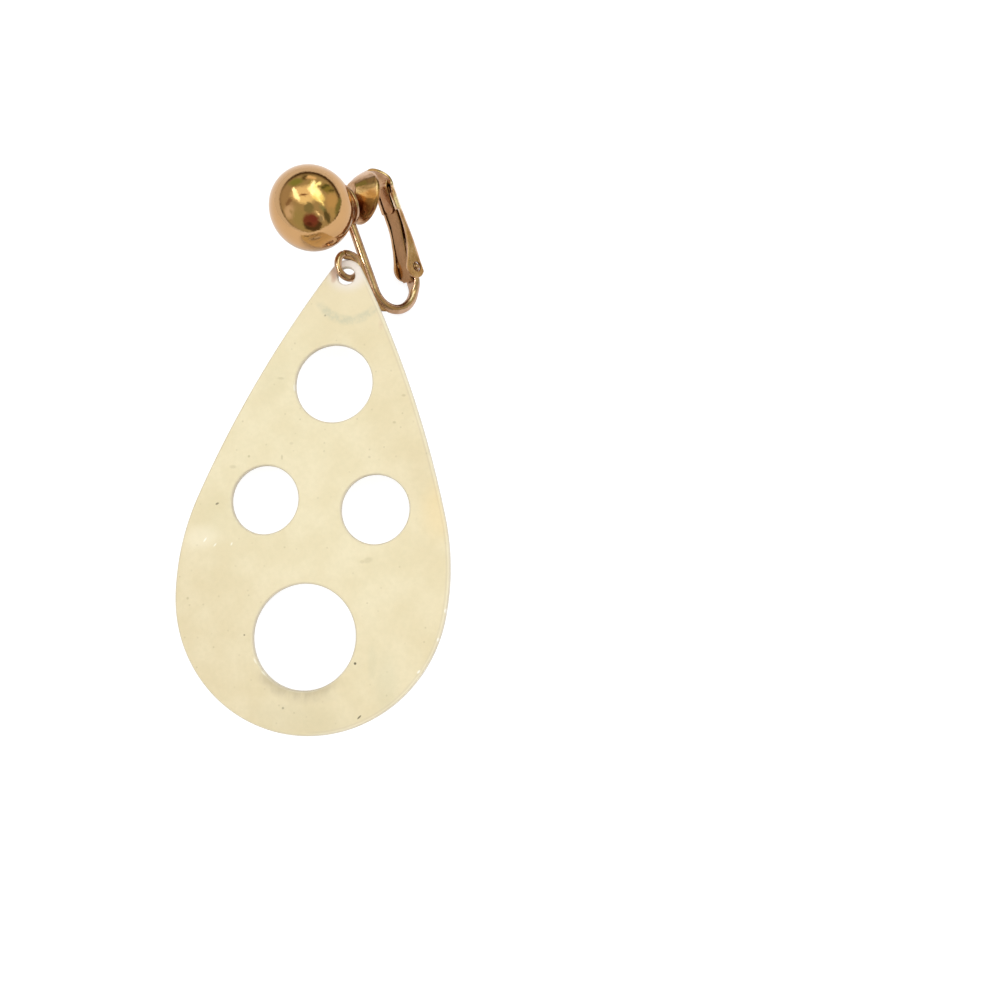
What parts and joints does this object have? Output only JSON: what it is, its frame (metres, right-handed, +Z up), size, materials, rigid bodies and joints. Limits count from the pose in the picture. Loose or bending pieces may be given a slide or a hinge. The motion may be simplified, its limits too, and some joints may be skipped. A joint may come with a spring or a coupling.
{
  "type": "clip-on earring",
  "caption": "Clip-on earring with a polished metal ball, a bent wire frame with a sprung back lever and a flat enamelled teardrop pierced with round holes.",
  "frame": {"origin": "middle of the earring's footprint on the table that it lies on", "axes": "+Z up from the table, +Y along the drop towards the clip, +X to the right seen from above"},
  "size_m": [0.0338, 0.0705, 0.0184],
  "materials": {
    "polished_ball": "rosy gold plating, mirror polished",
    "frame_wire": "rosy gold plating, polished, lightly worn",
    "stamped_lever": "rosy gold plating, polished, brown in the folds",
    "leaf_metal": "rosy gold plating, satin",
    "cream_enamel": "glossy cream enamel with a soft orange peel and small scuffs"
  },
  "bodies": {
    "earring": {"ball": "polished_ball", "clip_frame": "frame_wire", "hinge_pin": "frame_wire", "drop": "cream_enamel"},
    "lever": {"clip_lever": "stamped_lever", "spring_leaf": "leaf_metal"}
  },
  "joints": [
    {"name": "lever_hinge", "type": "hinge", "parent": "earring", "child": "lever", "pos_m": [0.00613, 0.02545, 0.00191], "axis": [-0.7292, 0.0805, -0.6795], "range_deg": [0, 90], "stiffness_Nm_per_rad": 0.001, "springref_deg": -17.19}
  ]
}
